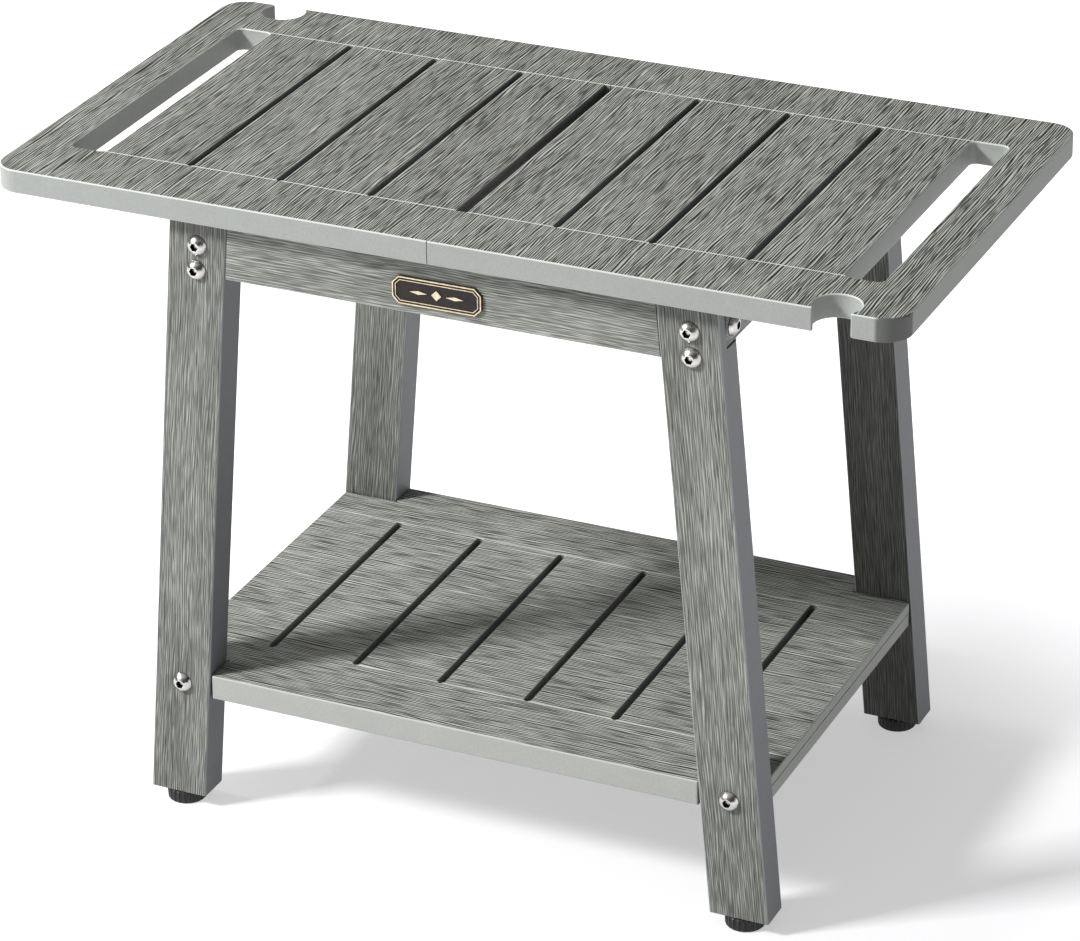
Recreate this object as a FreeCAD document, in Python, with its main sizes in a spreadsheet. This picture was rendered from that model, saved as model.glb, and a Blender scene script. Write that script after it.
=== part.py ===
import FreeCAD, Part
import os

import Sketcher

# Bath transfer bench: a seat of two slotted boards on a bolted frame with four splayed legs,
# a slatted shelf and four levelling feet.
# Origin: on the floor under the middle of the seat. +X to the right, +Y to the back, +Z up.

DRIVING_SIZES = (
    ("seat_length", 620, "end to end of the seat"),
    ("seat_depth", 332, "front to back of the seat"),
    ("seat_height", 454, "floor to the top of the seat"),
    ("panel_thickness", 16, "seat boards"),
    ("panel_gap", 0.5, "gap at the centre seam"),
    ("seat_corner_radius", 18, "plan corners of the seat"),
    ("edge_round", 1.2, "eased long edges of the boards"),
    ("slot_ease", 0.4, "eased edges of the drain slots"),
    ("handle_inner_x", 253.5, "inner side of a handle slot"),
    ("handle_width", 25.5, "handle slot across"),
    ("handle_length", 232, "handle slot front to back"),
    ("handle_radius", 5, "handle slot corners"),
    ("slot_pitch", 64, "seat drain slots"),
    ("slot_width", 5, "seat drain slots"),
    ("slot_length", 231, "seat drain slots"),
    ("centre_slot_width", 8, "drain slot over the seam"),
    ("notch_x", 265, "round notch, from the middle"),
    ("notch_inset", 10.2, "notch centre, in from the long edge"),
    ("notch_radius", 14.8, "round notch"),
    ("score_width", 0.9, "scored line across the boards"),
    ("score_depth", 0.45, "scored line across the boards"),
    ("frame_depth", 305, "outside of the front legs to outside of the back legs"),
    ("leg_width", 41, "leg, side to side"),
    ("leg_depth", 24, "leg, front to back"),
    ("leg_top_x", 187.3, "outer side of a leg under the seat"),
    ("leg_bottom_x", 224.8, "outer side of a leg at its foot"),
    ("leg_bottom_z", 9.4, "floor to the cut end of a leg"),
    ("lip_depth", 8.5, "leg in front of the side rail's end"),
    ("lap_clearance", 0.3, "round a side rail's end"),
    ("lap_overrun", 1, "lap cut past the back of a leg"),
    ("side_rail_x", 189.4, "outer face of a side rail"),
    ("side_rail_thickness", 9, "side rail"),
    ("side_rail_height", 32, "side rail"),
    ("apron_height", 41.6, "board between two legs"),
    ("apron_recess", 0.4, "apron behind the face of the legs"),
    ("apron_gap", 0.4, "apron end to leg"),
    ("seat_rail_height", 47, "inner rail behind the legs"),
    ("seat_rail_thickness", 24, "inner rail behind the legs"),
    ("seat_rail_gap", 0.2, "seat rail end to side rail"),
    ("shelf_height", 103.8, "floor to the top of the shelf"),
    ("shelf_thickness", 17.6, "shelf"),
    ("shelf_length", 431.6, "end to end of the shelf"),
    ("shelf_depth", 302.6, "front to back of the shelf"),
    ("shelf_notch_x", 175.2, "inner side of a shelf notch"),
    ("shelf_slot_pitch", 62.9, "shelf drain slots"),
    ("shelf_slot_width", 5.4, "shelf drain slots"),
    ("shelf_slot_length", 199, "shelf drain slots"),
    ("shelf_corner_radius", 3, "plan corners of the shelf ends"),
    ("shelf_relief", 2.4, "relief hole in the corner of a leg notch"),
    ("shelf_relief_inset", 0.3, "relief hole, in from that corner"),
    ("shelf_groove", 1, "groove along a shelf end"),
    ("shelf_groove_drop", 7.3, "shelf top to that groove"),
    ("upper_bolt_drop", 36.7, "seat top to the upper leg bolts"),
    ("lower_bolt_drop", 53.9, "seat top to the lower leg bolts"),
    ("rail_bolt_y", 134, "side rail bolts, from the middle"),
    ("rail_bolt_drop", 35.8, "seat top to the side rail bolts"),
    ("bolt_diameter", 5.9, "M6 shank"),
    ("bolt_point", 0.8, "chamfer at the end of a bolt"),
    ("bolt_hole", 6.6, "clearance hole"),
    ("hole_overrun", 2, "hole past the end of a bolt or stud"),
    ("head_diameter", 14, "button head"),
    ("head_height", 4.2, "button head"),
    ("head_rim", 0.5, "straight edge of a button head"),
    ("head_flat", 6.6, "flat on top of a button head"),
    ("head_dome_radius", 7.4, "curve of a button head"),
    ("socket_width", 5, "hexagon socket across flats"),
    ("socket_depth", 2.6, "hexagon socket"),
    ("leg_bolt_length", 40, "leg into the seat rail"),
    ("shelf_bolt_length", 45, "leg into the shelf"),
    ("rail_bolt_length", 15, "side rail into the leg"),
    ("insert_diameter", 9, "threaded insert"),
    ("insert_length", 13, "threaded insert"),
    ("insert_bore", 6.1, "threaded insert"),
    ("insert_groove", 0.4, "grip groove round an insert"),
    ("leg_insert_diameter", 8, "insert for a side rail bolt"),
    ("leg_insert_length", 6.4, "insert for a side rail bolt"),
    ("screw_diameter", 4.2, "screw shank"),
    ("screw_head_diameter", 8.6, "pan head"),
    ("screw_head_height", 2.8, "pan head"),
    ("screw_head_ease", 1.2, "slope of a pan head's edge"),
    ("screw_point", 2, "length of the point"),
    ("screw_hole", 4.3, "hole for a screw"),
    ("screw_overrun", 0.5, "hole past the point of a screw"),
    ("cross_arm", 2.2, "cross socket, middle to tip"),
    ("cross_half_width", 0.5, "cross socket"),
    ("cross_depth", 1.6, "cross socket"),
    ("counterbore", 9.6, "hole for a screw head"),
    ("apron_screw_length", 34, "seat rail into the apron"),
    ("apron_screw_depth", 3.2, "counterbore in the back of the seat rail"),
    ("apron_screw_pitch", 120, "along the apron"),
    ("panel_screw_length", 36, "seat rail into a seat board"),
    ("panel_screw_depth", 22, "counterbore in the underside of the seat rail"),
    ("panel_screw_first", 32, "from the middle"),
    ("panel_screw_pitch", 58, "along the seat rail"),
    ("running_fit", 0.05, "radial play of a turning or screwed-in piece"),
    ("stud_diameter", 7.9, "M8 stud of a foot"),
    ("stud_bottom", 2.2, "floor to the bottom of the stud"),
    ("stud_top", 34, "floor to the top of the stud"),
    ("stud_point", 1, "chamfer at the top of a stud"),
    ("stud_room", 9.6, "hole above a foot insert"),
    ("foot_insert_diameter", 11, "insert in the end of a leg"),
    ("foot_insert_length", 15, "insert in the end of a leg"),
    ("foot_insert_bore", 8, "insert in the end of a leg"),
    ("knob_diameter", 27.4, "foot knob at its top"),
    ("knob_floor_diameter", 26.4, "foot knob on the floor"),
    ("knob_height", 9, "foot knob"),
    ("knob_lobes", 22, "ribs round a foot knob"),
    ("knob_flute_radius", 1.3, "hollow between two ribs"),
    ("knob_flute_offset", 0.1, "hollow's centre outside the knob"),
    ("knob_floor_ease", 0.6, "eased edge on the floor"),
    ("knob_top_ease", 1.2, "height of the eased edge at the top"),
    ("knob_top_inset", 0.8, "width of the eased edge at the top"),
    ("knob_bore_floor", 2.1, "floor to the end of the stud's hole"),
    ("badge_length", 61.5, "badge plate"),
    ("badge_height", 19, "badge plate"),
    ("badge_drop", 41.9, "seat top to the middle of the badge"),
    ("badge_thickness", 1.4, "badge plate"),
    ("badge_corner", 4.6, "cut corners of the badge"),
    ("badge_rim_height", 0.7, "raised rims of the badge"),
    ("badge_rim_inset", 0.25, "edge to the outer rim"),
    ("badge_rim_width", 0.8, "outer rim"),
    ("badge_inner_inset", 2.3, "edge to the inner rim"),
    ("badge_inner_width", 0.5, "inner rim"),
    ("badge_root", 0.1, "rims and lozenges let into the plate"),
    ("lozenge_pitch", 12.5, "lozenges on the badge"),
    ("middle_lozenge_length", 6.8, "lozenge"),
    ("middle_lozenge_height", 6.8, "lozenge"),
    ("outer_lozenge_length", 12, "lozenge"),
    ("outer_lozenge_height", 2.4, "lozenge"),
)

# Places that follow from the driving sizes.
UNDERSIDE = "(Dims.seat_height - Dims.panel_thickness)"
LEG_FRONT = "(Dims.frame_depth / 2)"
LEG_BACK = "(Dims.frame_depth / 2 - Dims.leg_depth)"
RAIL_BACK = "(Dims.frame_depth / 2 - Dims.leg_depth - Dims.seat_rail_thickness)"
LEG_SPREAD = (
    "((Dims.leg_bottom_x - Dims.leg_top_x) / "
    "(Dims.seat_height - Dims.panel_thickness - Dims.leg_bottom_z))"
)
LAP_X = "(Dims.side_rail_x - Dims.side_rail_thickness)"
SHELF_MIDDLE = "(Dims.shelf_height - Dims.shelf_thickness / 2)"
UPPER_BOLT_Z = "(Dims.seat_height - Dims.upper_bolt_drop)"
LOWER_BOLT_Z = "(Dims.seat_height - Dims.lower_bolt_drop)"
RAIL_BOLT_Z = "(Dims.seat_height - Dims.rail_bolt_drop)"
APRON_SCREW_Z = f"({UNDERSIDE} - Dims.apron_height / 2)"
FOOT_X = "(Dims.leg_bottom_x - Dims.leg_width / 2)"
FOOT_Y = "(Dims.frame_depth / 2 - Dims.leg_depth / 2)"
HALF_TURN = 180
QUARTER_TURN = 90
SEAT_SLOTS_EACH_SIDE = 3
SHELF_SLOTS = 6
SOCKET_SIDES = 6
PICK_SLACK = 1
X_AXIS = FreeCAD.Vector(1, 0, 0)
Y_AXIS = FreeCAD.Vector(0, 1, 0)
Z_AXIS = FreeCAD.Vector(0, 0, 1)
ORIGIN = FreeCAD.Vector(0, 0, 0)
CORNERS = (("front_left", -1, -1), ("front_right", 1, -1), ("back_left", -1, 1), ("back_right", 1, 1))

doc = FreeCAD.newDocument("TransferBench")
dims = doc.addObject("Spreadsheet::Sheet", "Dims")
for row, (alias, value, note) in enumerate(DRIVING_SIZES, start=1):
    dims.set(f"A{row}", alias)
    dims.set(f"B{row}", str(value))
    dims.setAlias(f"B{row}", alias)
    dims.set(f"C{row}", note)
doc.recompute()
probe = doc.addObject("App::FeaturePython", "Probe")
sub_parts = []


def number(expression):
    """The value of an expression on the sheet."""
    return float(probe.evalExpression(expression))


def leg_outer_x(height):
    """Distance from the middle to the outer side of a leg, at a height."""
    return f"(Dims.leg_top_x + {LEG_SPREAD} * ({UNDERSIDE} - {height}))"


def leg_centre_x(height):
    return f"({leg_outer_x(height)} - Dims.leg_width / 2)"


def leg_inner_x(height):
    return f"({leg_outer_x(height)} - Dims.leg_width)"


def new_body(label, exported=True):
    body = doc.addObject("PartDesign::Body", label)
    body.Label = label
    if exported:
        sub_parts.append(body)
    return body


def turned(body, angle):
    """Swings a body round the bench's upright axis, for the piece at the opposite place."""
    body.Placement = FreeCAD.Placement(ORIGIN, FreeCAD.Rotation(Z_AXIS, angle))


def sketch_on(body, role, offset="0"):
    """A sketch on one of the body's origin planes, moved along the plane's normal."""
    sketch = body.newObject("Sketcher::SketchObject", f"{body.Name}_sketch")
    plane = [item for item in body.Origin.OriginFeatures if item.Role == role][0]
    sketch.AttachmentSupport = [(plane, "")]
    sketch.MapMode = "FlatFace"
    sketch.setExpression("AttachmentOffset.Base.z", offset)
    return sketch


def bind(sketch, constraint, expression):
    index = sketch.addConstraint(constraint)
    sketch.setExpression(f"Constraints[{index}]", expression)


def place(sketch, edge, vertex, spot):
    """Ties a vertex of a sketch edge to its distances from the sketch's origin."""
    for kind, expression in zip(("DistanceX", "DistanceY"), spot):
        bind(sketch, Sketcher.Constraint(kind, -1, 1, edge, vertex, number(expression)), expression)


def at(spot):
    return FreeCAD.Vector(number(spot[0]), number(spot[1]), 0)


def join(sketch, first, last):
    """Closes a chain of edges, end to start."""
    for edge in range(first, last + 1):
        following = first if edge == last else edge + 1
        sketch.addConstraint(Sketcher.Constraint("Coincident", edge, 2, following, 1))


def add_polygon(sketch, spots):
    first = sketch.GeometryCount
    for index, spot in enumerate(spots):
        end = spots[(index + 1) % len(spots)]
        sketch.addGeometry(Part.LineSegment(at(spot), at(end)))
    join(sketch, first, first + len(spots) - 1)
    for index, spot in enumerate(spots):
        place(sketch, first + index, 1, spot)


def add_circle(sketch, spot, diameter):
    centre = at(spot)
    circle = sketch.addGeometry(Part.Circle(centre, Z_AXIS, number(diameter) / 2))
    place(sketch, circle, 3, spot)
    bind(sketch, Sketcher.Constraint("Diameter", circle, number(diameter)), diameter)


def add_slot(sketch, centre, width, length):
    """A slot with round ends, along the sketch's Y."""
    left = f"({centre} - {width} / 2)"
    right = f"({centre} + {width} / 2)"
    low = f"(-({length} - {width}) / 2)"
    high = f"(({length} - {width}) / 2)"
    tip = number(length) / 2
    first = sketch.addGeometry(Part.LineSegment(at((right, low)), at((right, high))))
    top_middle = FreeCAD.Vector(number(centre), tip, 0)
    sketch.addGeometry(Part.Arc(at((right, high)), top_middle, at((left, high))))
    sketch.addGeometry(Part.LineSegment(at((left, high)), at((left, low))))
    bottom_middle = FreeCAD.Vector(number(centre), -tip, 0)
    sketch.addGeometry(Part.Arc(at((left, low)), bottom_middle, at((right, low))))
    join(sketch, first, first + 3)
    for edge, start, end in ((first, (right, low), (right, high)), (first + 2, (left, high), (left, low))):
        place(sketch, edge, 1, start)
        place(sketch, edge, 2, end)
    for edge, height in ((first + 1, high), (first + 3, low)):
        bind(sketch, Sketcher.Constraint("DistanceY", -1, 1, edge, 3, number(height)), height)


def add_rectangle(sketch, low_x, high_x, low_y, high_y):
    add_polygon(sketch, ((low_x, low_y), (high_x, low_y), (high_x, high_y), (low_x, high_y)))


def pad(body, sketch, length, backwards=False):
    feature = body.newObject("PartDesign::Pad", f"{body.Name}_pad")
    feature.Profile = sketch
    feature.Reversed = backwards
    feature.setExpression("Length", length)
    doc.recompute()
    return feature


def pocket(body, sketch, depth, backwards=False):
    """Cuts against the sketch's normal, or along it when backwards, and checks that it cut."""
    before = body.Shape.Volume
    feature = body.newObject("PartDesign::Pocket", f"{body.Name}_pocket")
    feature.Profile = sketch
    feature.Reversed = backwards
    feature.setExpression("Length", depth)
    doc.recompute()
    if not body.Shape.Volume < before:
        raise RuntimeError(f"{feature.Name} cut nothing")
    return feature


def revolve(body, sketch):
    feature = body.newObject("PartDesign::Revolution", f"{body.Name}_revolution")
    feature.Profile = sketch
    feature.ReferenceAxis = (sketch, ["V_Axis"])
    feature.Angle = 360
    doc.recompute()
    return feature


def edge_names(shape, wanted):
    return [f"Edge{index}" for index, edge in enumerate(shape.Edges, start=1) if wanted(edge)]


def is_near(value, target):
    return abs(value - target) < 0.01


def lies_at(edge, axis, value):
    """True when both ends of an edge have that coordinate."""
    ends = [vertex.Point for vertex in edge.Vertexes]
    return all(is_near(getattr(end, axis), value) for end in ends)


def fillet(body, wanted, radius):
    base = body.Tip
    feature = body.newObject("PartDesign::Fillet", f"{body.Name}_fillet")
    feature.Base = (base, edge_names(base.Shape, wanted))
    feature.setExpression("Radius", radius)
    doc.recompute()
    return feature


def add_score(sketch, centre, top):
    """A shallow V, open at the top of the board."""
    half = "Dims.score_width / 2"
    add_polygon(
        sketch,
        (
            (f"{centre} - {half}", f"{top} + Dims.score_depth"),
            (f"{centre} - {half}", top),
            (centre, f"{top} - Dims.score_depth"),
            (f"{centre} + {half}", top),
            (f"{centre} + {half}", f"{top} + Dims.score_depth"),
        ),
    )


def top_panel(label, turn):
    """One seat board, drawn on the right; the left one is the same board turned half round."""
    body = new_body(label)
    half_length = "(Dims.seat_length / 2)"
    half_depth = "(Dims.seat_depth / 2)"
    outline = sketch_on(body, "XY_Plane", UNDERSIDE)
    add_rectangle(outline, "Dims.panel_gap / 2", half_length, f"-{half_depth}", half_depth)
    pad(body, outline, "Dims.panel_thickness")
    end_x = number(half_length)
    edge_y = number(half_depth)
    top = number("Dims.seat_height")
    bottom = number(UNDERSIDE)
    seam = number("Dims.panel_gap / 2")

    def upright(edge):
        return is_near(edge.BoundBox.ZLength, top - bottom)

    fillet(body, lambda edge: upright(edge) and lies_at(edge, "x", end_x), "Dims.seat_corner_radius")
    notch = sketch_on(body, "XY_Plane", "Dims.seat_height")
    add_circle(notch, ("Dims.notch_x", f"-({half_depth} - Dims.notch_inset)"), "2 * Dims.notch_radius")
    pocket(body, notch, "Dims.panel_thickness")
    notch_x = number("Dims.notch_x")
    notch_radius = number("Dims.notch_radius")

    def mouth(edge):
        beside = abs(edge.CenterOfMass.x - notch_x) < notch_radius
        return upright(edge) and beside and lies_at(edge, "y", -edge_y)

    fillet(body, mouth, "Dims.edge_round")
    handle = sketch_on(body, "XY_Plane", "Dims.seat_height")
    add_rectangle(
        handle,
        "Dims.handle_inner_x",
        "Dims.handle_inner_x + Dims.handle_width",
        "-Dims.handle_length / 2",
        "Dims.handle_length / 2",
    )
    pocket(body, handle, "Dims.panel_thickness")
    handle_y = number("Dims.handle_length / 2")

    def handle_corner(edge):
        return upright(edge) and (lies_at(edge, "y", handle_y) or lies_at(edge, "y", -handle_y))

    fillet(body, handle_corner, "Dims.handle_radius")

    def rim(edge):
        flat = lies_at(edge, "z", top) or lies_at(edge, "z", bottom)
        return flat and edge.CenterOfMass.x > seam + PICK_SLACK

    fillet(body, rim, "Dims.edge_round")
    slots = sketch_on(body, "XY_Plane", "Dims.seat_height")
    for count in range(1, SEAT_SLOTS_EACH_SIDE + 1):
        add_slot(slots, f"{count} * Dims.slot_pitch", "Dims.slot_width", "Dims.slot_length")
    add_rectangle(
        slots, "0", "Dims.centre_slot_width / 2", "-Dims.slot_length / 2", "Dims.slot_length / 2"
    )
    pocket(body, slots, "Dims.panel_thickness")
    inside_x = number("Dims.handle_inner_x") - PICK_SLACK
    inside_y = number("Dims.slot_length / 2")

    def slot_rim(edge):
        middle = edge.CenterOfMass
        flat = lies_at(edge, "z", top) or lies_at(edge, "z", bottom)
        return flat and seam + PICK_SLACK < middle.x < inside_x and abs(middle.y) <= inside_y

    fillet(body, slot_rim, "Dims.slot_ease")
    scores = sketch_on(body, "YZ_Plane", "0")
    for side in (-1, 1):
        add_score(scores, f"{side} * Dims.slot_length / 2", "Dims.seat_height")
    pocket(body, scores, "Dims.handle_inner_x + Dims.edge_round", backwards=True)
    turned(body, turn)


def leg(label, side, turn):
    """A splayed leg, drawn at the front; side is 1 for the right one and -1 for the left one."""
    body = new_body(label)

    def sided(expression):
        return f"{side} * {expression}"

    face = sketch_on(body, "XZ_Plane", LEG_BACK)
    top_outer = (sided("Dims.leg_top_x"), UNDERSIDE)
    bottom_outer = (sided("Dims.leg_bottom_x"), "Dims.leg_bottom_z")
    bottom_inner = (sided("(Dims.leg_bottom_x - Dims.leg_width)"), "Dims.leg_bottom_z")
    top_inner = (sided("(Dims.leg_top_x - Dims.leg_width)"), UNDERSIDE)
    add_polygon(face, (top_outer, bottom_outer, bottom_inner, top_inner))
    pad(body, face, "Dims.leg_depth")
    leg_height = number(f"{UNDERSIDE} - Dims.leg_bottom_z")
    fillet(body, lambda edge: is_near(edge.BoundBox.ZLength, leg_height), "Dims.edge_round")
    lap = sketch_on(body, "XY_Plane", UNDERSIDE)
    add_rectangle(
        lap,
        sided(LAP_X),
        sided("Dims.leg_bottom_x"),
        f"-({LEG_FRONT} - Dims.lip_depth)",
        f"-({LEG_BACK} - Dims.lap_overrun)",
    )
    pocket(body, lap, "Dims.side_rail_height + Dims.lap_clearance")
    bolts = sketch_on(body, "XZ_Plane", LEG_FRONT)
    for height in (UPPER_BOLT_Z, LOWER_BOLT_Z, SHELF_MIDDLE):
        add_circle(bolts, (sided(leg_centre_x(height)), height), "Dims.bolt_hole")
    pocket(body, bolts, "Dims.leg_depth")
    rail_bolt = sketch_on(body, "YZ_Plane", sided(LAP_X))
    add_circle(rail_bolt, ("-Dims.rail_bolt_y", RAIL_BOLT_Z), "Dims.leg_insert_diameter")
    pocket(body, rail_bolt, "Dims.leg_insert_length", backwards=side < 0)
    for diameter, depth in (
        ("Dims.foot_insert_diameter", "Dims.foot_insert_length"),
        ("Dims.stud_room", "Dims.stud_top - Dims.leg_bottom_z + Dims.hole_overrun"),
    ):
        foot_hole = sketch_on(body, "XY_Plane", "Dims.leg_bottom_z")
        add_circle(foot_hole, (sided(FOOT_X), f"-{FOOT_Y}"), diameter)
        pocket(body, foot_hole, depth, backwards=True)
    turned(body, turn)


def apron(label, turn):
    """The board between two legs, with its ends cut to their slope."""
    body = new_body(label)
    low = f"({UNDERSIDE} - Dims.apron_height)"
    top_x = f"({leg_inner_x(UNDERSIDE)} - Dims.apron_gap)"
    bottom_x = f"({leg_inner_x(low)} - Dims.apron_gap)"
    face = sketch_on(body, "XZ_Plane", LEG_BACK)
    corners = ((f"-{bottom_x}", low), (bottom_x, low), (top_x, UNDERSIDE), (f"-{top_x}", UNDERSIDE))
    add_polygon(face, corners)
    pad(body, face, "Dims.leg_depth - Dims.apron_recess")
    front = -number(f"{LEG_FRONT} - Dims.apron_recess")
    height = number(low)
    fillet(body, lambda edge: lies_at(edge, "y", front) and lies_at(edge, "z", height), "Dims.edge_round")
    holes = sketch_on(body, "XZ_Plane", LEG_BACK)
    for step in (-1, 0, 1):
        add_circle(holes, (f"{step} * Dims.apron_screw_pitch", APRON_SCREW_Z), "Dims.screw_hole")
    reach = "Dims.apron_screw_length + Dims.apron_screw_depth - Dims.seat_rail_thickness"
    pocket(body, holes, f"{reach} + Dims.screw_overrun", backwards=True)
    turned(body, turn)


def seat_rail(label, turn):
    """The inner rail behind two legs: it takes their bolts and carries the seat boards."""
    body = new_body(label)
    end = f"({LAP_X} - Dims.seat_rail_gap)"
    low = f"({UNDERSIDE} - Dims.seat_rail_height)"
    face = sketch_on(body, "XZ_Plane", RAIL_BACK)
    add_rectangle(face, f"-{end}", end, low, UNDERSIDE)
    pad(body, face, "Dims.seat_rail_thickness")
    tip = "Dims.leg_bolt_length - Dims.leg_depth + Dims.hole_overrun"
    for diameter, depth in (("Dims.insert_diameter", "Dims.insert_length"), ("Dims.bolt_hole", tip)):
        bolts = sketch_on(body, "XZ_Plane", LEG_BACK)
        for side in (-1, 1):
            for height in (UPPER_BOLT_Z, LOWER_BOLT_Z):
                add_circle(bolts, (f"{side} * {leg_centre_x(height)}", height), diameter)
        pocket(body, bolts, depth)
    for diameter, depth in (
        ("Dims.counterbore", "Dims.apron_screw_depth"),
        ("Dims.screw_hole", "Dims.seat_rail_thickness"),
    ):
        holes = sketch_on(body, "XZ_Plane", RAIL_BACK)
        for step in (-1, 0, 1):
            add_circle(holes, (f"{step} * Dims.apron_screw_pitch", APRON_SCREW_Z), diameter)
        pocket(body, holes, depth, backwards=True)
    for diameter, depth in (
        ("Dims.counterbore", "Dims.panel_screw_depth"),
        ("Dims.screw_hole", "Dims.seat_rail_height"),
    ):
        holes = sketch_on(body, "XY_Plane", low)
        for spot in panel_screw_spots():
            add_circle(holes, spot, diameter)
        pocket(body, holes, depth, backwards=True)
    turned(body, turn)


def panel_screw_spots():
    """Three screws a side, between the drain slots, in the middle of the seat rail."""
    middle = f"-({RAIL_BACK} + Dims.seat_rail_thickness / 2)"
    spots = []
    for side in (-1, 1):
        for count in (0, 1, 2):
            across = f"{side} * (Dims.panel_screw_first + {count} * Dims.panel_screw_pitch)"
            spots.append((across, middle))
    return spots


def pilot_holes(body, turn):
    """Blind holes for the seat screws in the underside of a seat board."""
    holes = sketch_on(body, "XY_Plane", UNDERSIDE)
    for across, along in panel_screw_spots()[3:]:
        add_circle(holes, (across, along), "Dims.screw_hole")
        add_circle(holes, (across, f"-({along})"), "Dims.screw_hole")
    depth = "Dims.panel_screw_length + Dims.panel_screw_depth - Dims.seat_rail_height"
    pocket(body, holes, f"{depth} + Dims.screw_overrun", backwards=True)
    turned(body, turn)


def side_rail(label, turn):
    """The board across a pair of legs, let into their outer faces; drawn on the right."""
    body = new_body(label)
    half = f"({LEG_FRONT} - Dims.lip_depth - Dims.lap_clearance)"
    face = sketch_on(body, "YZ_Plane", LAP_X)
    add_rectangle(face, f"-{half}", half, f"{UNDERSIDE} - Dims.side_rail_height", UNDERSIDE)
    pad(body, face, "Dims.side_rail_thickness")
    outer = number("Dims.side_rail_x")
    low = number(f"{UNDERSIDE} - Dims.side_rail_height")
    fillet(body, lambda edge: lies_at(edge, "x", outer) and lies_at(edge, "z", low), "Dims.edge_round")
    holes = sketch_on(body, "YZ_Plane", "Dims.side_rail_x")
    for end in (-1, 1):
        add_circle(holes, (f"{end} * Dims.rail_bolt_y", RAIL_BOLT_Z), "Dims.bolt_hole")
    pocket(body, holes, "Dims.side_rail_thickness")
    turned(body, turn)


def shelf():
    """The slatted lower shelf, notched round the four legs."""
    body = new_body("shelf")
    end = "(Dims.shelf_length / 2)"
    edge = "(Dims.shelf_depth / 2)"
    step_x = "Dims.shelf_notch_x"
    outline = sketch_on(body, "XY_Plane", "Dims.shelf_height - Dims.shelf_thickness")
    add_polygon(
        outline,
        (
            (f"-{step_x}", f"-{edge}"),
            (step_x, f"-{edge}"),
            (step_x, f"-{LEG_BACK}"),
            (end, f"-{LEG_BACK}"),
            (end, LEG_BACK),
            (step_x, LEG_BACK),
            (step_x, edge),
            (f"-{step_x}", edge),
            (f"-{step_x}", LEG_BACK),
            (f"-{end}", LEG_BACK),
            (f"-{end}", f"-{LEG_BACK}"),
            (f"-{step_x}", f"-{LEG_BACK}"),
        ),
    )
    pad(body, outline, "Dims.shelf_thickness")
    reliefs = sketch_on(body, "XY_Plane", "Dims.shelf_height")
    inset = "Dims.shelf_relief_inset"
    for _, side, end_sign in CORNERS:
        spot = (f"{side} * ({step_x} - {inset})", f"{end_sign} * ({LEG_BACK} - {inset})")
        add_circle(reliefs, spot, "Dims.shelf_relief")
    pocket(body, reliefs, "Dims.shelf_thickness")
    long_edge = number(edge)
    end_x = number(end)
    thickness = number("Dims.shelf_thickness")

    def at_an_end(rim):
        return any(lies_at(rim, "x", sign * end_x) for sign in (-1, 1))

    def end_corner(rim):
        return at_an_end(rim) and is_near(rim.BoundBox.ZLength, thickness)

    def outside(rim):
        return at_an_end(rim) or any(lies_at(rim, "y", sign * long_edge) for sign in (-1, 1))

    fillet(body, end_corner, "Dims.shelf_corner_radius")
    fillet(body, outside, "Dims.edge_round")
    slots = sketch_on(body, "XY_Plane", "Dims.shelf_height")
    for count in range(SHELF_SLOTS):
        across = f"{count - (SHELF_SLOTS - 1) / 2} * Dims.shelf_slot_pitch"
        add_slot(slots, across, "Dims.shelf_slot_width", "Dims.shelf_slot_length")
    pocket(body, slots, "Dims.shelf_thickness")
    shelf_top = number("Dims.shelf_height")
    shelf_bottom = shelf_top - thickness
    inside_x = SHELF_SLOTS / 2 * number("Dims.shelf_slot_pitch")
    inside_y = number("Dims.shelf_slot_length / 2")

    def slot_rim(rim):
        flat = lies_at(rim, "z", shelf_top) or lies_at(rim, "z", shelf_bottom)
        middle = rim.CenterOfMass
        return flat and abs(middle.y) <= inside_y and abs(middle.x) < inside_x

    fillet(body, slot_rim, "Dims.slot_ease")
    scores = sketch_on(body, "YZ_Plane", f"-{end}")
    for side in (-1, 1):
        add_score(scores, f"{side} * Dims.shelf_slot_length / 2", "Dims.shelf_height")
    pocket(body, scores, "Dims.shelf_length", backwards=True)
    grooves = sketch_on(body, "XZ_Plane", f"-{LEG_BACK}")
    groove_z = "(Dims.shelf_height - Dims.shelf_groove_drop)"
    groove_low = f"{groove_z} - Dims.shelf_groove / 2"
    groove_high = f"{groove_z} + Dims.shelf_groove / 2"
    for side in (-1, 1):
        outer = f"{side} * ({end} + Dims.shelf_groove)"
        surface = f"{side} * {end}"
        inner = f"{side} * ({end} - Dims.shelf_groove)"
        add_polygon(
            grooves,
            (
                (outer, groove_low),
                (surface, groove_low),
                (inner, groove_z),
                (surface, groove_high),
                (outer, groove_high),
            ),
        )
    pocket(body, grooves, f"2 * {LEG_BACK}", backwards=True)
    tip = "Dims.shelf_bolt_length - Dims.leg_depth + Dims.hole_overrun"
    for facing in (-1, 1):
        for diameter, depth in (("Dims.insert_diameter", "Dims.insert_length"), ("Dims.bolt_hole", tip)):
            holes = sketch_on(body, "XZ_Plane", f"{-facing} * {LEG_BACK}")
            for side in (-1, 1):
                add_circle(holes, (f"{side} * {leg_centre_x(SHELF_MIDDLE)}", SHELF_MIDDLE), diameter)
            pocket(body, holes, depth, backwards=facing > 0)


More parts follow.
